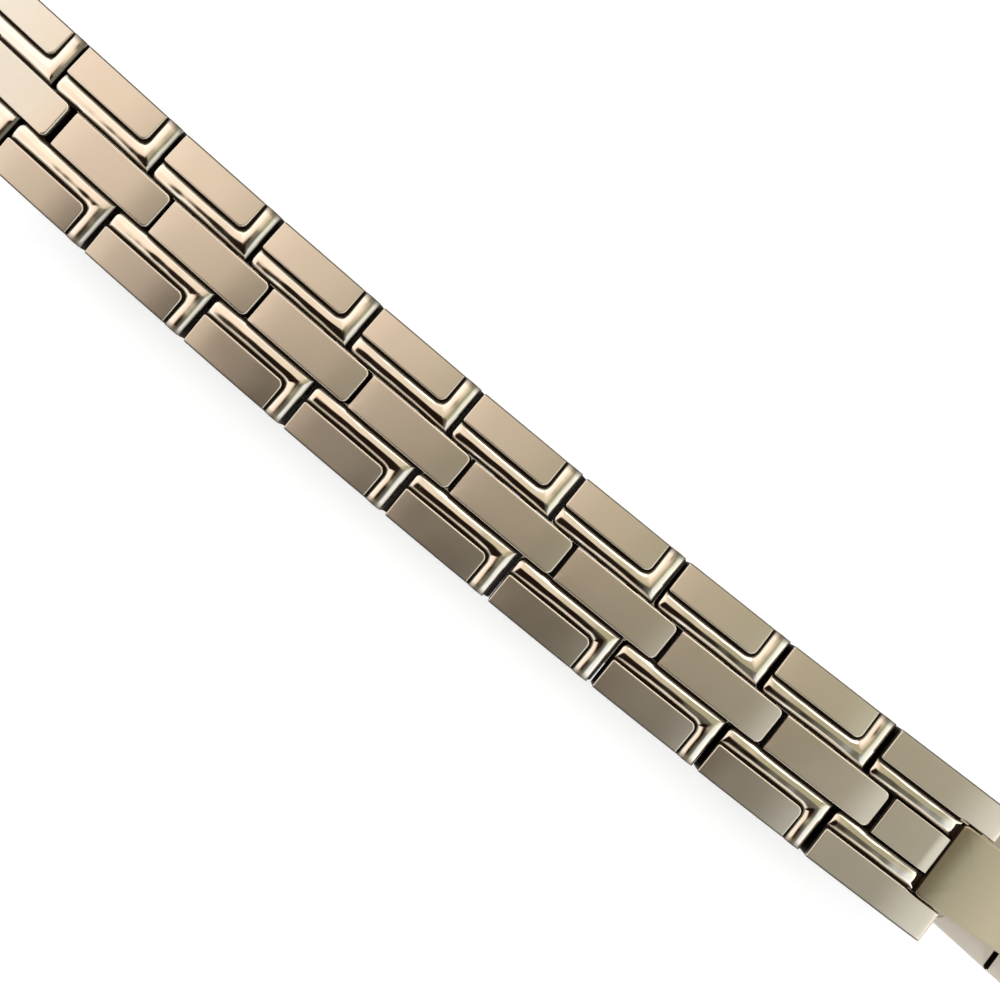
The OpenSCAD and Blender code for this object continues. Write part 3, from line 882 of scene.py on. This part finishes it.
def surroundings():
    """A white tent with a dim gap overhead, as the polished steel shows it.

    Its tone is one ramp along the x of a direction behind the band, another before it,
    white at low heights, and dark brown before it within a soft ellipse in x and y.
    """
    world = bpy.data.worlds.new("tent")
    world.use_nodes = True
    bpy.context.scene.world = world
    tree = world.node_tree
    background = tree.nodes["Background"]
    way = add(tree, "ShaderNodeTexCoord").outputs["Generated"]
    axes = add(tree, "ShaderNodeSeparateXYZ", Vector=way).outputs
    across = add(tree, "ShaderNodeMapRange", {"From Min": -0.8, "From Max": 0.8},
                 Value=axes["X"]).outputs["Result"]
    back = tones(tree, across, (
        (0.0, "#FFF3E8"), (0.2, "#FFECDC"), (0.42, "#FCEBD6"), (0.55, "#E8DCC4"),
        (0.66, "#BAB295"), (0.78, "#B8B397"), (0.9, "#E8ECE0")))
    near = tones(tree, across, (
        (0.0, "#FFF3E8"), (0.2, "#FFEAD6"), (0.42, "#B4A189"), (0.55, "#70695D"),
        (0.66, "#625E52"), (0.77, "#7E7C70"), (0.88, "#F0F5FA")))
    front = fade(tree, axes["Y"], 0.02, -0.06)
    cloth = blend(tree, front, back, near)
    # White toward the horizon, from a little higher up on the -X side than on the +X side
    rim = add(tree, "ShaderNodeMath", {"operation": "MULTIPLY_ADD", 1: 0.05},
              i0=axes["X"], i2=axes["Z"]).outputs[0]
    cloth = blend(tree, fade(tree, rim, 0.66, 0.4), cloth, "#FFFDF8")
    # The gap's ellipse is centred at x -0.1, y -0.46, and reaches 0.37 and 0.46 from there
    oval = add(tree, "ShaderNodeMapping", {"Location": (0.27, 1.0, 0.0), "Scale": (2.7, 2.17, 0.0)},
               Vector=way).outputs["Vector"]
    out = add(tree, "ShaderNodeVectorMath", {"operation": "LENGTH"}, i0=oval).outputs["Value"]
    tone = blend(tree, fade(tree, out, 1.15, 0.82), cloth, "#241812")
    tree.links.new(tone, background.inputs["Color"])
    left = fade(tree, axes["X"], -0.1, -0.6, 1.1, 1.5)
    low = add(tree, "ShaderNodeMath", {"operation": "MAXIMUM"},
              i0=left, i1=fade(tree, rim, 0.66, 0.36, 1.1, 1.35)).outputs[0]
    behind = add(tree, "ShaderNodeMath", {"operation": "MULTIPLY"},
                 i0=low, i1=fade(tree, axes["Y"], -0.02, 0.1, 1.0, 1.14)).outputs[0]
    right = add(tree, "ShaderNodeMath", {"operation": "MULTIPLY"},
                i0=behind, i1=fade(tree, axes["X"], 0.5, 0.7, 1.0, 1.35)).outputs[0]
    tree.links.new(right, background.inputs["Strength"])


def softbox(name, at, size, power, color):
    """A square soft light that faces the floor under the middle of the loop."""
    data = bpy.data.lights.new(name, "AREA")
    data.size = size
    data.energy = power
    data.color = linear(color)[:3]
    lamp = bpy.data.objects.new(name, data)
    lamp.location = at
    lamp.rotation_euler = (-Vector(at)).to_track_quat("-Z", "Y").to_euler()
    bpy.context.scene.collection.objects.link(lamp)


camera()
satin = satin_steel("satin_blasted_steel", "#C2BAAE", "#CAC2B6")
polish = polished_steel()
links(satin, polish)
first_end_link(satin, polish)
second_end_link(satin, polish)
plate = closed_mesh("clasp", [clasp()], rows=UPPER, height=out_of_plate)
# The clasp's satin steel is a darker, warmer copy of the links': painted shade on the clasp plate
clasp_satin_painted_shade = satin_steel("satin_clasp_steel_painted_shade", "#928975", "#9A917D")
dress("satin_clasp_plate", plate, place(PINS[LINKS + 1], PINS[LINKS + 2]), clasp_satin_painted_shade,
      "satin_steel", "clasp_plate")
pins = pin_steel()
paint("hinge_pins", pins)
paint("fixed_pins", pins)
paint("magnets", plated_magnet())
floor()
surroundings()
softbox("fill", (0.1, 0.6, 0.25), 0.4, 1.0, "#FFF8EE")
bpy.context.scene.view_settings.view_transform = "Standard"
